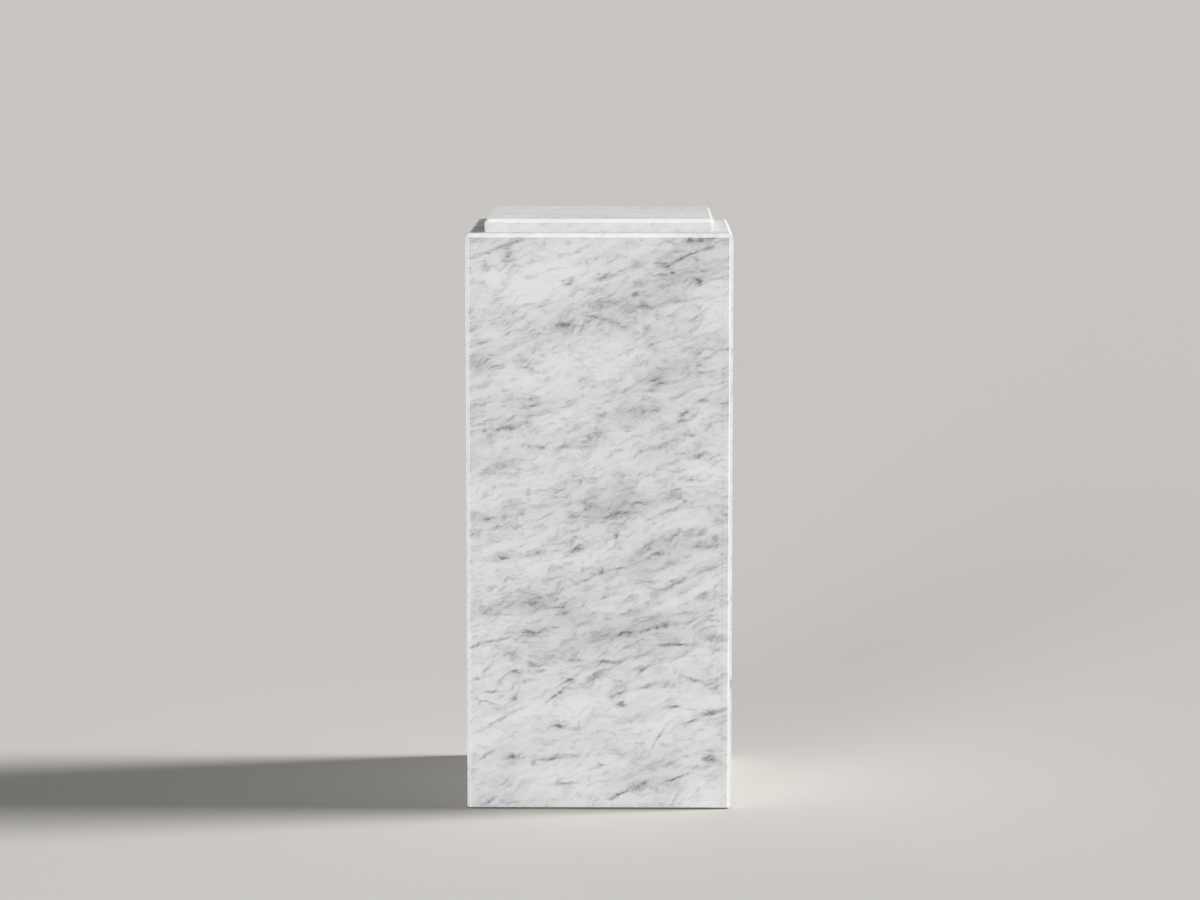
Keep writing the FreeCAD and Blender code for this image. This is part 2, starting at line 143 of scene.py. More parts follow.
# Honed Carrara marble: soft white calcite with grey mineral flecks and veins drawn out along one bedding,
# a dull sheen and no mirror. Sizes in mm are along the bedding, through the slab and across the bedding
marbleLook = {
    "stops": [(0, "#E6E6E6"), (0.2, "#D8D8D8"), (0.4, "#C8C8C9"), (0.6, "#B6B6B8"), (0.8, "#9E9EA1"),
              (1, "#808083")],
    "roughness": 0.6, "sheen": 0.18, "ior": 1.49,
    "rise": 19,  # degrees, the bedding to the level
    "folds": [(85, 32), (28, 9), (11, 4)],  # mm, how far apart the folds of the bedding are, and their reach
    "ragged": [(22, 9), (7, 4), (3.2, 2.2)],  # mm, the same for the edges of the veins
    "octaves": 3.0,  # of the noise of both
    "grains": {  # mm, and how many octaves
        "cloud": ((150, 110, 46), 2.0), "streak": ((26, 22, 8), 4.0), "fleck": ((13, 10, 4.2), 4.0),
        "grit": ((6.5, 5.5, 2.4), 3.0)},
    "harshness": 0.58,  # how much of each octave of a grain is left in the next
    "lens": (46, 36, 17),  # mm
    # The layers of the grey: a noise, from and to which value it comes in, how strong, and the noise that
    # lets it through, with the values between which it does
    "layers": [
        ("cloud", 0.30, 0.70, 0.24, "cloud", 0.0, 0.1), ("streak", 0.40, 0.76, 0.34, "cloud", 0.22, 0.60),
        ("fleck", 0.46, 0.70, 0.42, "streak", 0.40, 0.60), ("grit", 0.48, 0.70, 0.22, "streak", 0.40, 0.60),
        ("gap", 0.08, 0.0, 0.22, "fleck", 0.40, 0.58), ("whole", 0.74, 0.82, 0.12, "streak", 0.2, 0.5)],
    "foot": (90.0, 230.0, 0.78),  # mm up a wall: the grey fades from the second to the first, to this share
    "outer": -150, "deep": 1000,  # mm, the y of a wall's face, and how deep its veins and shades reach
    "vein": (0.9, 1.25, 1.25),  # how far a vein's soft edge reaches along and across, and its core's darkness
    "beads": (0.82, 1.18, 0.5, 1.4),  # flecks and grit from and to these values thin and thicken the veins
    # Painted shade: fine grey lines on a wall beside its right and its top chamfer, where the arris is
    # shaded;
    # half their width, how dark they are and the height at which they stop
    "paintedArrisShades": {"X": 139.0, "Z": 649.6}, "paintedArrisShade": (0.6, 0.11, 650.2),
    # Painted light: the chamfers are painted whiter as a painted highlight, and so are the cap's sides but
    # the
    # right, which the key lamp lights: its colour and share, where it starts at a wall's sides and its middle
    # and half height at a wall's top, and for the cap where it starts on all sides but the right, the foot of
    # the chamfer and the share below that
    "paintedLight": ("#FAFAFA", 0.55), "wallPaintedLight": (145.5, 652.7, 2.1), "capPaintedLight": (125.05, 666.0, 0.35),
}

# Veins of the front slab, drawn one by one: across and up from the foot of its middle, length and width in
# mm, rise in degrees and how dark
frontVeins = [
    (107, 647, 34, 4.5, 8, 0.54), (-92, 646, 34, 3, 8, 0.41), (134, 645, 20, 2, 25, 0.45),
    (122, 639, 12, 4, 15, 0.77), (-124, 635, 54, 3, 20, 0.36), (-102, 629, 17, 9.5, 15, 0.43),
    (94, 628, 59, 2.5, 24, 0.5), (40, 620, 13, 7.5, 25, 0.61), (75, 617, 17, 7.5, -20, 0.54),
    (26, 615, 31, 2, 20, 0.5), (82, 611, 10, 5.5, -35, 0.54), (9, 608, 31, 4.5, 12, 0.85),
    (131, 606, 31, 2.5, 8, 0.41), (113, 603, 14, 7, 20, 0.45), (-34, 600, 13, 6, 35, 0.5),
    (40, 586, 11, 5.5, 10, 0.45), (97, 581, 54, 3.5, 8, 0.45), (15, 577, 48, 6, 8, 0.36),
    (57, 572, 20, 4, 0, 0.41), (-8, 561, 34, 3, -12, 0.41), (104, 556, 40, 7.5, 6, 0.29),
    (-40, 554, 28, 5, 14, 0.45), (24, 552, 40, 7.5, -6, 0.27), (-19, 549, 10, 4.5, 40, 0.54),
    (52, 549, 11, 7, 0, 0.45), (-102, 543, 14, 2.5, 30, 0.45), (-135, 533, 25, 6, 18, 0.38),
    (122, 516, 31, 4, 38, 0.36), (-88, 509, 23, 7.5, 30, 0.32), (-133, 508, 40, 16, 0, 0.3),
    (87, 505, 25, 11.5, 20, 0.25), (-75, 503, 5, 2.5, 10, 0.72), (-15, 491, 17, 7.5, 25, 0.32),
    (69, 488, 34, 7, 5, 0.38), (115, 468, 23, 4.5, 20, 0.36), (-73, 462, 37, 4.5, 14, 0.36),
    (22, 459, 10, 5, 10, 0.5), (142, 459, 17, 8.5, 30, 0.25), (49, 455, 62, 9, 4, 0.29),
    (97, 454, 37, 3.5, 30, 0.36), (94, 446, 20, 4.5, 20, 0.45), (-104, 437, 57, 4.5, 8, 0.38),
    (2, 431, 23, 10, 20, 0.25), (83, 424, 31, 4, 20, 0.34), (-73, 415, 25, 3.5, 2, 0.38),
    (66, 415, 42, 6, 10, 0.38), (-36, 414, 51, 4.5, 4, 0.38), (111, 405, 31, 7.5, 0, 0.37),
    (-108, 394, 37, 11.5, 14, 0.36), (89, 389, 25, 3.5, 4, 0.41), (-126, 388, 17, 7, 35, 0.36),
    (104, 379, 34, 4, 0, 0.36), (-22, 378, 31, 2.5, 18, 0.41), (35, 350, 45, 6, 10, 0.36),
    (-63, 348, 25, 3.5, 14, 0.45), (-8, 348, 31, 8.5, -20, 0.36), (-97, 346, 34, 13, 15, 0.23),
    (83, 345, 34, 3.5, 16, 0.5), (12, 338, 59, 12.5, 8, 0.28), (-126, 333, 20, 7.5, 12, 0.47),
    (137, 330, 25, 3.5, 0, 0.36), (-115, 325, 20, 4, 14, 0.45), (-142, 316, 20, 7, 15, 0.36),
    (84, 315, 48, 8.5, 14, 0.36), (19, 312, 20, 5, 80, 0.36), (131, 312, 20, 9, 20, 0.32),
    (55, 303, 23, 3.5, 30, 0.38), (115, 303, 42, 7, 8, 0.34), (-25, 299, 34, 7, 6, 0.43),
    (-68, 295, 28, 6, 8, 0.38), (-107, 289, 42, 6, 14, 0.5), (29, 278, 42, 2.5, 8, 0.36),
    (131, 278, 37, 2, 22, 0.38), (-16, 264, 62, 3.5, 28, 0.38), (89, 262, 31, 5.5, 16, 0.38),
    (-44, 253, 45, 4, 20, 0.32), (64, 253, 17, 4, 0, 0.41), (118, 246, 12, 6, 25, 0.45),
    (-78, 239, 68, 14, 8, 0.29), (-126, 228, 34, 4.5, 20, 0.41), (98, 227, 14, 4, 10, 0.45),
    (-116, 225, 17, 3.5, 0, 0.45), (-50, 209, 14, 5.5, 10, 0.38), (66, 209, 54, 3.5, 14, 0.45),
    (-75, 205, 68, 10, 4, 0.27), (24, 201, 54, 7.5, 8, 0.27), (131, 198, 37, 7.5, 0, 0.38),
    (-115, 195, 59, 3, 16, 0.49), (89, 190, 37, 3.5, 5, 0.54), (-140, 187, 28, 2.5, 10, 0.49),
    (-105, 180, 23, 9.5, -35, 0.32), (46, 177, 23, 3, 22, 0.49), (-30, 173, 34, 4, -4, 0.46),
    (9, 170, 31, 3.5, 0, 0.6), (24, 169, 25, 2.5, 30, 0.6), (-76, 167, 12, 5, -20, 0.54),
    (-128, 160, 25, 3, 55, 0.46), (-66, 160, 11, 3, 0, 0.65), (-97, 158, 17, 6, 0, 0.54),
    (47, 158, 14, 3.5, 38, 0.65), (-5, 154, 28, 5.5, 38, 0.54), (107, 150, 31, 4, -20, 0.46),
    (-139, 149, 31, 3, 20, 0.54), (-36, 149, 31, 2.5, 30, 0.54), (52, 140, 42, 3.5, 14, 0.49),
    (-121, 136, 25, 3, 6, 0.54), (132, 136, 17, 7, 0, 0.49), (-47, 134, 48, 2.5, 38, 0.65),
    (26, 134, 34, 5, 25, 0.46), (-96, 128, 8, 5.5, -30, 0.6), (-129, 124, 42, 2, -14, 0.49),
    (24, 120, 12, 5, 6, 0.82), (84, 119, 16, 2.5, 2, 0.86), (130, 112, 40, 5, 14, 0.86),
    (-115, 102, 59, 3, 28, 0.54), (103, 102, 23, 2.5, 20, 0.54), (-46, 96, 15, 4, 2, 0.82),
    (69, 85, 34, 2.5, 60, 0.46), (-129, 61, 42, 3, 30, 0.54), (-99, 60, 23, 5.5, 4, 0.78),
    (-54, 59, 48, 5, 4, 0.67), (128, 56, 18, 7.5, 20, 0.65), (-75, 54, 10, 7, 20, 0.65),
    (1, 53, 8, 3.5, 0, 0.6), (83, 34, 37, 2.5, 22, 0.6), (-40, 29, 21, 3.5, 6, 0.71),
    (46, 26, 28, 8.5, 10, 0.7), (24, 17, 25, 3, 20, 0.54), (86, 11, 23, 2.5, 50, 0.49),
    (-126, 7, 13, 3.5, 40, 0.54),
]


# Broad greyer and whiter parts of the slabs, in the same way. Along the walls' tops they are painted
# shade and painted light
wallShades = {
    "front": [
        (-85, 600, 110, 55, 15, -0.2), (105, 625, 90, 45, 20, 0.14), (50, 575, 120, 40, 18, 0.18),
        (-135, 512, 60, 35, 10, 0.20), (55, 455, 90, 35, 15, 0.20), (18, 345, 70, 32, 12, 0.16),
        (75, 305, 110, 32, 12, 0.20), (-65, 240, 110, 36, 12, 0.24), (10, 200, 190, 45, 8, 0.28),
        (70, 30, 110, 40, 15, 0.16)],
    # Painted light: the right wall's top is whitened for light that the cap throws back onto it
    "right": [(-60, 655, 300, 25, 0, -0.3)],
    "back": [],
    # Painted shade: the left wall's top is greyed where the cap's shadow falls on it
    "left": [(60, 655, 300, 18, 0, 0.85)],
}


# Veins of the slabs that aren't drawn one by one, of the same sizes and slopes
strewn = {
    "count": 70, "seed": 40,
    "across": (-142, 142), "up": (8, 625),  # mm
    "long": (3.3, 0.5),  # mean and spread of the logarithm of the length in mm
    "wide": (0.08, 0.35), "least": 2.2, "most": 10,  # share of the length, and the limits in mm
    "rise": (16, 14),  # mean and spread in degrees
    "few": 0.12, "dark": (0.7, 0.95), "pale": (0.38, 0.58),  # share of dark veins, and how dark all are
}


# Strews veins from a seed: a length is lognormal, a width is a share of it within limits, a rise is
# normal, and the rest is uniform
def strewnVeins(seed):
    pick = np.random.default_rng(seed)
    count = strewn["count"]
    long = pick.lognormal(*strewn["long"], count)
    wide = np.clip(long * pick.uniform(*strewn["wide"], count), strewn["least"], strewn["most"])
    few = pick.random(count) < strewn["few"]
    dark = np.where(few, pick.uniform(*strewn["dark"], count), pick.uniform(*strewn["pale"], count))
    across, up = pick.uniform(*strewn["across"], count), pick.uniform(*strewn["up"], count)
    return list(zip(across, up, long, wide, pick.normal(*strewn["rise"], count), dark))


# The marble of one slab: grey is a sum of noises stretched along the folded bedding, of the drawn veins
# and of the shades, and the stops turn it to a colour. Along the tops of the left and right walls the shades
# are painted shade and painted light, and the chamfers and three of the cap's sides get painted light mixed
# in as a whiter colour. Walls have veins, and the cap has none
def marble(name, turn, shift, veins=(), shades=(), share=1.0, paintedLightShare=1.0):
    look = marbleLook
    tilt = (0, -math.radians(look["rise"]), 0)
    material, tree, surface, face = newMaterial(
        name, turn, Roughness=look["roughness"], IOR=look["ior"], Specular_IOR_Level=look["sheen"])
    block = addNode(tree, "VectorMath", [face, shift], operation="ADD")  # where the slab lay in its block
    folded, near, torn = block, face, block
    for steps in ("folds", "ragged"):
        for size, reach in look[steps]:
            noise = addNode(tree, "TexNoise", {"Vector": block, "Scale": 1 / size, "Detail": look["octaves"]})
            push = addNode(tree, "VectorMath", [
                noise.outputs["Color"], (reach,) * 3, (-reach / 2,) * 3], operation="MULTIPLY_ADD")
            if steps == "folds":
                folded = addNode(tree, "VectorMath", [folded, push], operation="ADD")
                torn = folded
            else:
                near = addNode(tree, "VectorMath", [near, push], operation="ADD")
                torn = addNode(tree, "VectorMath", [torn, push], operation="ADD")
    grain = {}
    for layer, (size, octaves) in look["grains"].items():
        bedded = addNode(tree, "Mapping", {
            "Vector": torn, "Rotation": tilt, "Scale": size}, vector_type="TEXTURE")
        grain[layer] = addNode(tree, "TexNoise", {
            "Vector": bedded, "Scale": 1.0, "Detail": octaves, "Roughness": look["harshness"]})
    # Long white lenses of clean calcite, parted by grey: the grey is strongest where two lenses meet, and
    # a few lenses are grey all over
    swept = addNode(tree, "Mapping", {
        "Vector": torn, "Rotation": tilt, "Scale": look["lens"]}, vector_type="TEXTURE")
    grain["gap"] = addNode(tree, "TexVoronoi", {"Vector": swept, "Scale": 1.0}, feature="DISTANCE_TO_EDGE")
    whole = addNode(tree, "TexVoronoi", {"Vector": swept, "Scale": 1.0}, feature="F1")
    grain["whole"] = addNode(tree, "SeparateXYZ", [whole.outputs["Color"]])
    grey = 0.0
    for layer, low, high, strength, through, closed, opened in look["layers"]:
        value = addNode(tree, "MapRange", [
            grain[layer], low, high, 0.0, strength * share], interpolation_type="SMOOTHSTEP")
        gate = addNode(tree, "MapRange", [
            grain[through], closed, opened, 0.0, 1.0], interpolation_type="SMOOTHSTEP")
        grey = addNode(tree, "Math", [value, gate, grey], operation="MULTIPLY_ADD")
    axes = addNode(tree, "SeparateXYZ", [face]).outputs
    low, high, kept = look["foot"]
    calm = addNode(tree, "MapRange", [axes["Z"], low, high, kept, 1.0])
    grey = addNode(tree, "Math", [grey, calm], operation="MULTIPLY")
    # Each vein is a soft flat oval on the slab's face, ragged because the point under it is pushed about
    marks = 0.0
    reachAlong, reachAcross, core = look["vein"]
    for across, up, long, wide, rise, dark in veins:
        spread = ((across, look["outer"], up), rise, (reachAlong * long, look["deep"], reachAcross * wide))
        oval = addNode(tree, "TexGradient", [near], gradient_type="QUADRATIC_SPHERE", spread=spread)
        mark = addNode(tree, "Math", [oval.outputs["Fac"], core * dark], operation="MULTIPLY")
        marks = addNode(tree, "Math", [marks, mark], operation="MAXIMUM")
    # Broad shades; along the tops of the left and right walls these are painted shade and painted light
    for across, up, long, wide, rise, dark in shades:
        spread = (Vector((across, look["outer"], up)) + Vector(shift), rise, (long, look["deep"], wide))
        broad = addNode(tree, "TexGradient", [folded], gradient_type="QUADRATIC_SPHERE", spread=spread)
        grey = addNode(tree, "Math", [broad.outputs["Fac"], dark, grey], operation="MULTIPLY_ADD")
    mixed = addNode(tree, "Math", [grain["fleck"], grain["grit"]], operation="ADD")
    mottle = addNode(tree, "MapRange", [mixed, *look["beads"]])
    grey = addNode(tree, "Math", [marks, mottle, grey], operation="MULTIPLY_ADD")
    aside = [addNode(tree, "Math", [axes[axis]], operation="ABSOLUTE") for axis in ("X", "Y")]
    if veins:
        halfWidth, darkness, stop = look["paintedArrisShade"]
        below = addNode(tree, "Math", [axes["Z"], stop], operation="LESS_THAN")
        # Painted shade beside the right and the top chamfer
        for axis, place in look["paintedArrisShades"].items():
            line = addNode(tree, "Math", [axes[axis], place, halfWidth], operation="COMPARE")
            line = addNode(tree, "Math", [line, below], operation="MULTIPLY")
            grey = addNode(tree, "Math", [line, darkness, grey], operation="MULTIPLY_ADD")
        # Painted highlight: a wall's upright chamfers and its top chamfer are painted whiter
        start, middle, halfHeight = look["wallPaintedLight"]
        paintedLight = [addNode(tree, "Math", [aside[0], start], operation="GREATER_THAN"),
                  addNode(tree, "Math", [axes["Z"], middle, halfHeight], operation="COMPARE")]
    else:
        # Painted light: the cap's front, back and left sides are painted whiter, its chamfer most; the right
        # side, which the key lamp lights, is not
        start, height, part = look["capPaintedLight"]
        left = addNode(tree, "Math", [axes["X"], -1.0], operation="MULTIPLY")
        rim = addNode(tree, "MapRange", [axes["Z"], height - 0.1, height + 0.1, part, 1.0])
        paintedLight = [addNode(tree, "Math", [side, start], operation="GREATER_THAN") for side in (left, aside[1])]
        paintedLight = [addNode(tree, "Math", [side, rim], operation="MULTIPLY") for side in paintedLight]
    white, most = look["paintedLight"]
    paintedLight = addNode(tree, "Math", paintedLight, operation="MAXIMUM")
    paintedLight = addNode(tree, "Math", [paintedLight, most * paintedLightShare], operation="MULTIPLY")
    stone = addNode(tree, "ValToRGB", [grey], stops=look["stops"])
    stone = addNode(tree, "Mix", {0: paintedLight, 6: stone, 7: linear(white)}, data_type="RGBA")
    tree.links.new(stone.outputs[2], surface["Base Color"])
    return material


# The four mitred wall slabs
wall = {
    "chamfer": 4.5 * mm,  # along the upright corners and the top
    "ease": 1.0 * mm,  # along the foot
    "mitreLine": 0.4 * mm,
    "rounding": 0.35 * mm,
    "turns": {"front": 0, "right": 90, "back": 180, "left": 270},  # degrees from the front
    "grey": {"front": 0.7, "right": 0.65, "back": 0.75, "left": 0.75},  # of the grey beside the drawn veins
    "paintedLightShare": {"front": 1.0, "right": 0.3, "back": 1.0, "left": 1.0},  # share of the chamfers' painted highlight, low on the right wall, which the key lamp lights
    "apart": (731.0, 517.0, 389.0),  # mm between neighbouring slabs in their block
}


# A wall slab: at each height the plan is the outer face, drawn in by the inset, half of each corner
# chamfer out to the mitre, and the inner face. Insets make the eased foot and the chamfer at the top
def wallSlab(label, turn):
    low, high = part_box(f"{label}_slab")
    half = max(abs(low.x), abs(low.y), high.x, high.y)
    thick = min(high.x - low.x, high.y - low.y)
    chamfer, ease = wall["chamfer"], wall["ease"]
    corner = half - wall["mitreLine"] * math.sqrt(0.5)
    inset = np.array([ease, 0, 0, chamfer / 2, chamfer])
    height = np.array([low.z, low.z + ease, high.z - chamfer, high.z - chamfer / 2, high.z])
    mitre = np.maximum(inset, (chamfer - half + corner) / 2)
    edge = np.minimum(half - chamfer + inset, corner - mitre)
    inner = np.full(5, corner - thick)
    x = np.stack([-edge, edge, corner - mitre, inner, -inner, mitre - corner], 1)
    y = np.stack([inset, inset, mitre, inner * 0 + thick, inner * 0 + thick, mitre], 1) - half
    z = np.repeat(height[:, None], 6, 1)
    c, s = math.cos(math.radians(turn)), math.sin(math.radians(turn))
    return skin(f"{label}_wall", np.stack([x * c - y * s, x * s + y * c, z], -1))


for number, (label, turn) in enumerate(wall["turns"].items()):
    piece = wallSlab(label, turn)
    roundEdges(piece, wall["rounding"])
    veins = frontVeins if label == "front" else strewnVeins(strewn["seed"] + number)
    shift = tuple(number * step for step in wall["apart"])
    material = marble(f"honed Carrara marble, {label}", turn, shift, veins, wallShades[label],
                      wall["grey"][label], wall["paintedLightShare"][label])
    fit(piece, material, "column", "marble", f"{label}_slab")
print("wall slabs done")


cap = {
    "chamfer": 4.0 * mm, "rounding": 0.5 * mm,
    "grey": 0.4, "lay": (3100.0, 200.0, 900.0),  # its share of the grey, and mm to its place in the block
}


# The cap slab: a square plan with cut corners, drawn in by the chamfer at the top until the cuts close
def capSlab():
    low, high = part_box("cap_slab")
    bite = cap["chamfer"]
    inset = np.array([0, 0, bite])
    reach, cut = high.x - inset, high.x - bite
    one, two = reach, np.minimum(reach, cut)
    x = np.stack([-two, two, one, one, two, -two, -one, -one], 1)
    y = np.stack([-one, -one, -two, two, one, one, two, -two], 1)
    z = np.repeat(np.array([low.z, high.z - bite, high.z])[:, None], 8, 1)
    return skin("cap", np.stack([x, y, z], -1))


piece = capSlab()
roundEdges(piece, cap["rounding"])
material = marble("honed Carrara marble, cap", 0, cap["lay"], share=cap["grey"])
fit(piece, material, "column", "marble", "cap_slab")
print("cap done")


# The levelling feet: felt disc, nylon pad and M8 stem with its hexagon
foot = {
    "around": 48,
    "pad": [(0, 2), (15.4, 2), (16, 2.5), (16, 3.7), (15.5, 4.3), (9.2, 7.3), (8, 8), (4.3, 8), (4.05, 7.7),
            (4.05, 4.02), (0, 4.02)],
    "ribs": 24, "ribDepth": 0.35, "rim": 0.93,  # round the pad, from this share of its radius outwards
    "felt": [(0, 0.05), (14.2, 0.05), (14.5, 0.4), (14.5, 1.6), (14.2, 1.98), (0, 1.98)],
    "spigot": {"radius": 3.95, "tip": 3.6, "heights": [4.1, 4.5, 8.09]},
    "hexagon": {"acrossFlats": 13, "low": 8.1, "high": 13.1, "end": 6.6, "slope": 1.7, "rows": 12},
    "thread": {"radius": 3.95, "depth": 0.6, "pitch": 1.25, "top": 38.2, "tip": 3.1, "rowsPerTurn": 8},
}


# A turned piece: a profile of (radius, height) carried round an upright axis. Ribs draw the radius in,
# by a cosine round the axis, where the profile is widest
def turned(name, place, profile, ribs=0):
    radius, height = np.array(profile, float).T * mm
    around = foot["around"] * (2 if ribs else 1)
    angle = np.arange(around) * math.tau / around
    widest = np.interp(radius / radius.max(), [foot["rim"], 1], [0, 1])
    drawn = radius[:, None] - foot["ribDepth"] * mm * widest[:, None] * (0.5 - 0.5 * np.cos(ribs * angle))
    rings = np.stack([place[0] * mm + drawn * np.cos(angle), place[1] * mm + drawn * np.sin(angle),
                      np.repeat(height[:, None], len(angle), 1)], -1)
    return skin(name, rings)


# The stem: the radius is a function of angle and height. The spigot is round, the hexagon is its flat's
# distance over the cosine of the angle off that flat, cut by a cone at both ends, and the thread rises
# one pitch a turn, as a triangle wave of the height less that rise. Each tip is cut by a cone
def stem(name, place):
    spigot, hexagon, thread = foot["spigot"], foot["hexagon"], foot["thread"]
    nut = np.linspace(hexagon["low"], hexagon["high"], hexagon["rows"])
    screw = np.arange(hexagon["high"] + 0.01, thread["top"] + 0.001, thread["pitch"] / thread["rowsPerTurn"])
    height = np.concatenate([spigot["heights"], nut, screw, [thread["top"]]])[:, None]
    angle = (np.arange(foot["around"]) * math.tau / foot["around"])[None, :]
    offFlat = (angle % (math.tau / 6)) - math.tau / 12
    fromEnd = np.minimum(height - hexagon["low"], hexagon["high"] - height)
    cone = hexagon["end"] + fromEnd * hexagon["slope"]
    hexRadius = np.minimum(hexagon["acrossFlats"] / 2 / np.cos(offFlat), cone)
    wave = np.abs((height / thread["pitch"] - angle / math.tau) % 1 * 2 - 1)
    tip = thread["tip"] + (thread["top"] - height)
    screwRadius = np.minimum(thread["radius"] - thread["depth"] * wave, tip)
    tip = spigot["tip"] + (height - spigot["heights"][0])
    spigotRadius = np.minimum(spigot["radius"], tip) + angle * 0
    above = np.where(height <= hexagon["high"], hexRadius, screwRadius)
    radius = np.where(height < hexagon["low"], spigotRadius, above)
    x, y = place[0] + radius * np.cos(angle), place[1] + radius * np.sin(angle)
    rings = np.stack([x, y, height + angle * 0], -1)
    return skin(name, rings * mm)


# A material whose colour wanders between stops: a noise of the look's size in mm picks it, and a curl
# draws the noise out into fibres
def mottled(look, **fixed):
    material, tree, surface, point = newMaterial(look["finish"], **fixed)
    noise = addNode(tree, "TexNoise", {
        "Vector": point, "Scale": 1 / look["size"], "Detail": look["octaves"],
        "Distortion": look.get("curl", 0.0)})
    addNode(tree, "ValToRGB", [noise], surface["Base Color"], look["stops"])
    return material, tree, surface, point, noise


# Moulded nylon: near-black, with the fine even grain of a spark-eroded mould, which scatters its gloss
nylonLook = {
    "finish": "moulded black nylon", "size": 6, "octaves": 3.0, "stops": [(0.3, "#161618"), (0.7, "#232427")],
    # The mould's grain: its size in mm, drawn coarser than it is so that it shows, its strength and height
    "grain": 0.5, "relief": 0.15, "height": 0.1 * mm,
}
nylon, tree, surface, point = mottled(nylonLook, Roughness=0.42, IOR=1.53)[:4]
grain = addNode(tree, "TexNoise", {"Vector": point, "Scale": 1 / nylonLook["grain"], "Detail": 2.0})
addNode(tree, "Bump", {
    "Strength": nylonLook["relief"], "Distance": nylonLook["height"], "Height": grain,
}, surface["Normal"])

# Pressed wool felt: grey fibres lying all ways, no gloss, a pale fuzz at grazing angles
feltLook = {
    "finish": "pressed wool felt", "size": 1.2, "octaves": 6.0,
    "stops": [(0.3, "#2E2C2A"), (0.55, "#4A4744"), (0.8, "#6B6763")],
    "curl": 2.0, "relief": 0.6, "height": 0.3 * mm,  # of the fibres
}
felt, tree, surface, point, fibre = mottled(
    feltLook, Roughness=0.95, Sheen_Weight=0.25, Specular_IOR_Level=0.2)
addNode(tree, "Bump", {
    "Strength": feltLook["relief"], "Distance": feltLook["height"], "Height": fibre,
}, surface["Normal"])

# Zinc-plated steel: a thin bright bluish coat over turned steel, a little cloudy, satin rather than mirror
zincLook = {
    "finish": "zinc-plated steel", "size": 4, "octaves": 4.0, "stops": [(0.3, "#A9AEB3"), (0.7, "#C9CDD0")],
    "roughness": (0.28, 0.42),  # of the darker and of the paler clouds
}
zinc, tree, surface, point, cloudy = mottled(zincLook, Metallic=1.0)
addNode(tree, "MapRange", [cloudy, 0.3, 0.7, *zincLook["roughness"]], surface["Roughness"])

for corner, place in footPlaces.items():
    fit(turned(f"felt_{corner}", place, foot["felt"]), felt, f"foot_{corner}", "felt", f"foot_felt_{corner}")
    pad = turned(f"pad_{corner}", place, foot["pad"], foot["ribs"])
    fit(pad, nylon, f"foot_{corner}", "black_nylon", f"foot_pad_{corner}")
    fit(stem(f"stem_{corner}", place), zinc, f"stem_{corner}", "zinc_steel", f"foot_stem_{corner}")
print("levelling feet done")


# Birch plywood: pale veneers glued with their grain crossed, so that a sawn edge shows light and dark
# lines and a sanded face shows long faint grain
plywood = {
    "veneer": 1.5, "blur": 0.1,  # mm
    "face": [(0.3, "#CDAF84"), (0.7, "#DEC49C")], "edge": "#B08A58", "dark": 0.35,
    "grain": {"X": (9, 9, 260), "Y": (9, 9, 260), "Z": (260, 9, 9)},  # mm, by the axis across
}


# Plywood for the sheets whose thickness is along one axis: faint noise drawn out along the grain, and
# every second veneer darker, where the place across the sheet, less whole pairs of veneers, is past one
def plywoodAlong(thickness):
    material, tree, surface, point = newMaterial(f"birch plywood, {thickness} across", Roughness=0.6)
    size = plywood["grain"][thickness]
    long = addNode(tree, "Mapping", {"Vector": point, "Scale": size}, vector_type="TEXTURE")
    grain = addNode(tree, "TexNoise", {"Vector": long, "Scale": 1.0, "Detail": 6.0, "Roughness": 0.6})
    across = addNode(tree, "SeparateXYZ", [point]).outputs[thickness]
    veneer, blur = plywood["veneer"], plywood["blur"]
    ply = addNode(tree, "Math", [across, 2 * veneer], operation="FLOORED_MODULO")
    dark = addNode(tree, "MapRange", [ply, veneer - blur, veneer + blur, 0.0, plywood["dark"]])
    wood = addNode(tree, "ValToRGB", [grain], stops=plywood["face"])
    mix = addNode(tree, "Mix", {0: dark, 6: wood, 7: linear(plywood["edge"])}, data_type="RGBA")
    tree.links.new(mix.outputs[2], surface["Base Color"])
    return material


# Planed pine: growth rings round a pith well outside the batten, so that they show as lines up its faces,
# with darker late wood and fine fibres
pineLook = {
    "ring": 3.5, "pith": (40, 25, 0),  # mm: the width of a ring, and from the pith to the column's middle
    "bend": 90, "reach": 9,  # mm: how far apart the bends of the rings are, and how far they reach
    "fibre": (1.2, 1.2, 45), "shares": (0.7, 0.3),  # mm, and the shares of the rings and of the fibres
    "stops": [(0, "#E2C796"), (0.55, "#D8B67E"), (0.85, "#B98B52"), (0.95, "#D9BA85")],
}
pine, tree, surface, point = newMaterial("planed pine", Roughness=0.55)
bent = addNode(tree, "TexNoise", {"Vector": point, "Scale": 1 / pineLook["bend"], "Detail": 2.0})
push = addNode(tree, "VectorMath", [
    bent.outputs["Color"], (pineLook["reach"], pineLook["reach"], 0), point], operation="MULTIPLY_ADD")
pith = addNode(tree, "Mapping", {"Vector": push, "Location": pineLook["pith"], "Scale": (1, 1, 0)})
out = addNode(tree, "VectorMath", [pith], operation="LENGTH").outputs["Value"]
years = addNode(tree, "Math", [out, 1 / pineLook["ring"]], operation="MULTIPLY")
ring = addNode(tree, "Math", [years], operation="FRACT")
long = addNode(tree, "Mapping", {"Vector": point, "Scale": pineLook["fibre"]}, vector_type="TEXTURE")
fibre = addNode(tree, "TexNoise", {"Vector": long, "Scale": 1.0, "Detail": 3.0})
fine = addNode(tree, "Math", [fibre, pineLook["shares"][1]], operation="MULTIPLY")
both = addNode(tree, "Math", [ring, pineLook["shares"][0], fine], operation="MULTIPLY_ADD")
addNode(tree, "ValToRGB", [both], surface["Base Color"], pineLook["stops"])

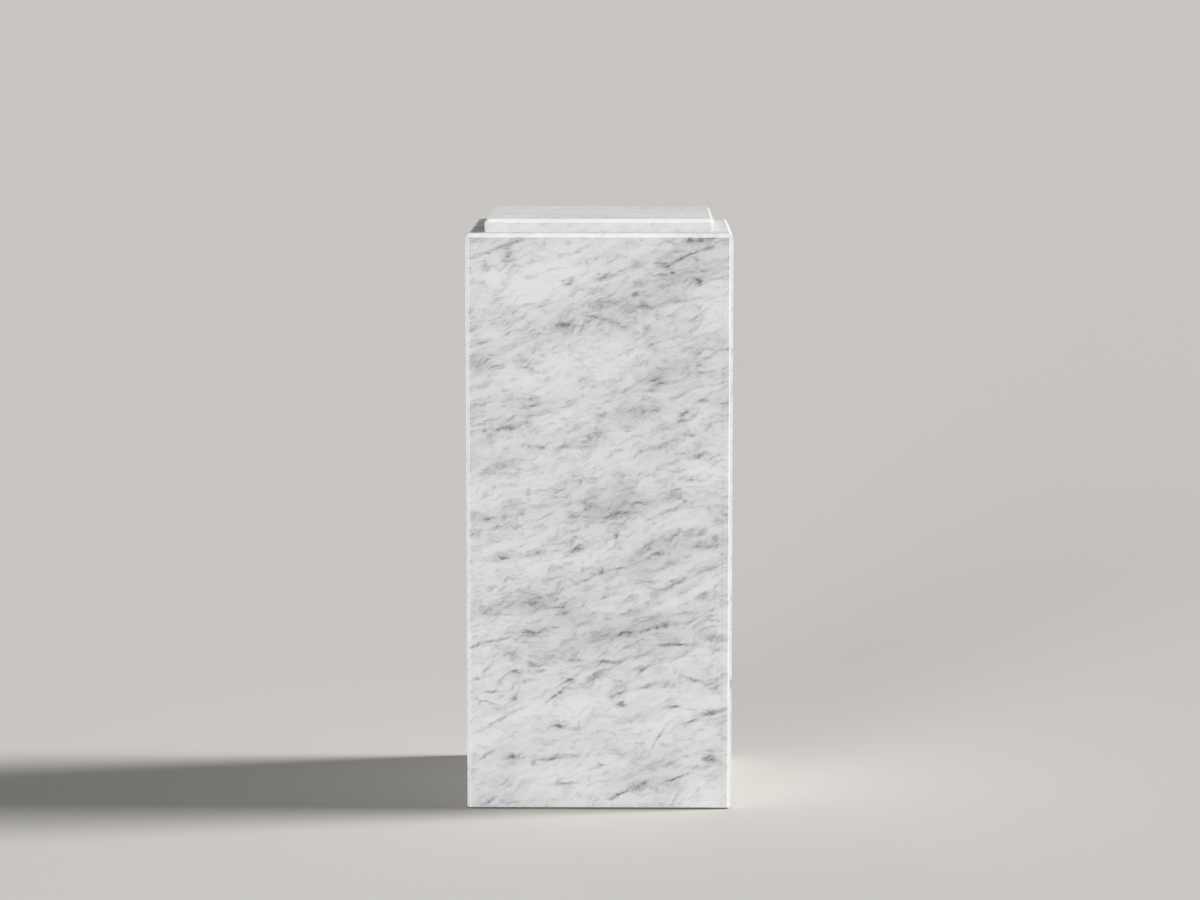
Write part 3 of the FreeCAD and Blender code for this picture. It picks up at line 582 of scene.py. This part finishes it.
# Cured construction adhesive: a beige paste, dull, with the slanting ridges of a notched trowel
adhesiveLook = {
    "finish": "cured construction adhesive", "size": 14, "octaves": 4.0,
    "stops": [(0.3, "#C4BBA5"), (0.7, "#D5CDB9")],
    "ridge": 8, "slant": 24, "waver": 1.5,  # mm apart, degrees to the level, and how uneven
    "relief": 0.6, "height": 1 * mm,
}
adhesive, tree, surface, point = mottled(adhesiveLook, Roughness=0.7)[:4]
ridge = addNode(tree, "Mapping", {
    "Vector": point, "Rotation": (0, math.radians(adhesiveLook["slant"]), 0),
    "Scale": (adhesiveLook["ridge"],) * 3}, vector_type="TEXTURE")
wavy = addNode(tree, "TexWave", {  # at a scale of 0.314 a wave is one unit long
    "Vector": ridge, "Scale": 0.314, "Distortion": adhesiveLook["waver"], "Detail": 2.0}, bands_direction="Z")
addNode(tree, "Bump", {
    "Strength": adhesiveLook["relief"], "Distance": adhesiveLook["height"], "Height": wavy,
}, surface["Normal"])

# Stone-coloured polyester resin in the mitres, rubbed flush with the marble: even, a little cloudy, matt
resinLook = {
    "finish": "rubbed polyester resin", "size": 5, "octaves": 3.0,
    "stops": [(0.3, "#CFCFCD"), (0.7, "#DADAD8")],
}
resin = mottled(resinLook, Roughness=0.55, IOR=1.54, Specular_IOR_Level=0.3)[0]

# Pale grey silicone, drawn smooth with a finger: soft satin with faint drag marks
siliconeLook = {
    "finish": "tooled silicone sealant", "size": 3, "octaves": 2.0,
    "stops": [(0.3, "#BDBDBB"), (0.7, "#C9C9C7")],
    "relief": 0.3, "height": 0.3 * mm,
}
silicone, tree, surface, point, drag = mottled(siliconeLook, Roughness=0.5, IOR=1.41)
addNode(tree, "Bump", {
    "Strength": siliconeLook["relief"], "Distance": siliconeLook["height"], "Height": drag,
}, surface["Normal"])

# The nodes that keep their own shape, by material
finishes = {
    "adhesive": (adhesive, [
        "front_adhesive", "right_adhesive", "back_adhesive", "left_adhesive", "cap_adhesive"]),
    "resin": (resin, ["mitre_resin"]),
    "sealant": (silicone, ["cap_sealant"]),
    "zinc": (zinc, [
        "front_screws", "right_screws", "back_screws", "left_screws", "deck_screws", "levelling_nuts"]),
    "pine": (pine, [f"corner_batten_{corner}" for corner in footPlaces]),
    "plywood front and back": (plywoodAlong("Y"), ["core_front_panel", "core_back_panel"]),
    "plywood sides": (plywoodAlong("X"), ["core_left_panel", "core_right_panel"]),
    "plywood level": (plywoodAlong("Z"), ["core_deck", "base_board", "middle_brace"]),
}
for material, nodes in finishes.values():
    for node in nodes:
        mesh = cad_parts[node].data
        mesh.materials.clear()
        mesh.materials.append(material)
print("core, joints and fixings done")


# A plain pale floor, matt, wide enough to reach the horizon
stage = {
    "floor": "#D9D6D1", "background": "#D2CFCA", "ambient": 0.15,
    "rings": [3, 20, 150, 1200], "around": 64,  # metres from the middle, and points on each ring
}
radius = np.array(stage["rings"], float)[:, None]
angle = (np.arange(stage["around"]) * math.tau / stage["around"])[None, :]
disc = np.stack([radius * np.cos(angle), radius * np.sin(angle), radius * angle * 0], -1)
index = np.arange(radius.size * angle.size).reshape(radius.size, angle.size)
inner, outer = index[:-1], index[1:]
quads = np.stack([inner, outer, np.roll(outer, -1, 1), np.roll(inner, -1, 1)], -1).reshape(-1, 4)
mesh = bpy.data.meshes.new("floor")
mesh.from_pydata(disc.reshape(-1, 3).tolist(), [], quads.tolist() + [index[0].tolist()])
floor = bpy.data.objects.new("floor", mesh)
bpy.context.scene.collection.objects.link(floor)
paint = {"Base_Color": linear(stage["floor"]), "Roughness": 0.95, "Specular_IOR_Level": 0.0}
mesh.materials.append(newMaterial("matt painted floor", **paint)[0])

# Even studio surroundings: a soft grey that lights the object, shown in the background's colour
world = bpy.data.worlds.new("studio")
world.use_nodes = True
tree = world.node_tree
tree.nodes.clear()
ray = addNode(tree, "LightPath").outputs
seen = addNode(tree, "Math", [ray["Is Camera Ray"], ray["Is Glossy Ray"]], operation="MAXIMUM")
seen = addNode(tree, "Math", [seen, ray["Is Transmission Ray"]], operation="MAXIMUM")
lit = addNode(tree, "Background", [(1, 1, 1, 1), stage["ambient"]])
shown = addNode(tree, "Background", [linear(stage["background"]), 1.0])
addNode(tree, "OutputWorld", [addNode(tree, "MixShader", [seen, lit, shown])])
bpy.context.scene.world = world

# Each lamp: its azimuth from the front towards the right and its elevation in degrees, its light on a
# surface that faces it, where 1 shows a colour as it is written, how wide it looks in degrees, and its
# colour. The fill is a little cool, against the warm light thrown back by the floor
lamps = {
    "key": (96, 36, 1.02, 14, "#FFFFFF"),
    "fill": (-24, 3, 0.985, 26, "#FBFCFF"),
    "back": (200, 1, 0.4, 6, "#FFFFFF"),
}
for name, (azimuth, elevation, level, width, colour) in lamps.items():
    a, e = math.radians(azimuth), math.radians(elevation)
    towards = Vector((math.sin(a) * math.cos(e), -math.cos(a) * math.cos(e), math.sin(e)))
    lamp = bpy.data.lights.new(name, "SUN")
    lamp.energy = level * math.pi
    lamp.color = linear(colour)[:3]
    lamp.angle = math.radians(width)
    light = bpy.data.objects.new(name, lamp)
    light.rotation_euler = towards.to_track_quat("Z", "Y").to_euler()
    bpy.context.scene.collection.objects.link(light)

# The photograph's view: eye at 0.92 m, 4.1 m in front, through a long lens
view = {
    "eye": (0.0452, -4.2459, 0.9172), "down": 7.036, "left": 0.619,  # metres, degrees
    "lens": 110.13, "sensor": 36,  # mm
    "far": 3000,  # metres
}
camera = bpy.data.objects.new("camera", bpy.data.cameras.new("camera"))
camera.data.sensor_width = view["sensor"]
camera.data.lens = view["lens"]
camera.data.clip_end = view["far"]
camera.location = view["eye"]
camera.rotation_euler = (math.radians(90 - view["down"]), 0, math.radians(view["left"]))
bpy.context.scene.collection.objects.link(camera)
bpy.context.scene.camera = camera
bpy.context.scene.view_settings.view_transform = "Standard"
print("floor, light and camera done")
